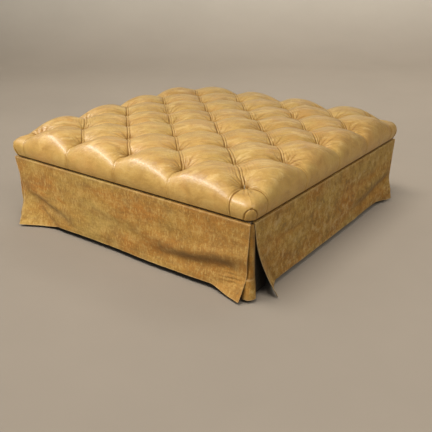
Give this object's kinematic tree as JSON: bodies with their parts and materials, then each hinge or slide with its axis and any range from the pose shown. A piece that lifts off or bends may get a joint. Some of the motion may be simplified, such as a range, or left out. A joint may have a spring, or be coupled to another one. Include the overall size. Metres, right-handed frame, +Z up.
{
  "type": "ottoman coffee table",
  "caption": "Square low ottoman coffee table with a deep-buttoned tan leather cushion top and a suede skirt in flat panels that part at the corners over an underlay.",
  "frame": {"origin": "on the floor, under the middle of the cushion", "axes": "+Z up; -Y is the front, the long left-hand face in the picture; +X is the right-hand face in the picture"},
  "size_m": [1.326, 1.34, 0.428],
  "materials": {
    "cushion_leather": "soft pull-up leather with a satin sheen, camel tan",
    "skirt_leather": "matte nubuck, mottled golden brown",
    "foam": "open-cell upholstery foam, matte",
    "twine": "waxed linen twine",
    "toggle_wood": "plain",
    "plywood": "raw birch plywood",
    "frame_wood": "raw hardwood",
    "leg_wood": "dark stained, satin",
    "glide_plastic": "matte",
    "dust_cloth": "non-woven cloth, matte"
  },
  "bodies": {
    "root": {"batten_back": "frame_wood", "batten_front": "frame_wood", "batten_left": "frame_wood", "batten_right": "frame_wood", "button_twines": "twine", "buttons": "cushion_leather", "corner_block_back_left": "frame_wood", "corner_block_back_right": "frame_wood", "corner_block_front_left": "frame_wood", "corner_block_front_right": "frame_wood", "cross_rail_back": "frame_wood", "cross_rail_front": "frame_wood", "cross_rail_left": "frame_wood", "cross_rail_right": "frame_wood", "deck_board": "plywood", "dust_cover": "dust_cloth", "foam_pad": "foam", "glides": "glide_plastic", "leg_back_left": "leg_wood", "leg_back_right": "leg_wood", "leg_front_left": "leg_wood", "leg_front_right": "leg_wood", "rail_back": "frame_wood", "rail_front": "frame_wood", "rail_left": "frame_wood", "rail_right": "frame_wood", "skirt_back": "skirt_leather", "skirt_front": "skirt_leather", "skirt_left": "skirt_leather", "skirt_right": "skirt_leather", "top_cover": "cushion_leather", "twine_toggles": "toggle_wood", "underlay_back_left": "skirt_leather", "underlay_back_right": "skirt_leather", "underlay_front_left": "skirt_leather", "underlay_front_right": "skirt_leather"}
  },
  "joints": []
}
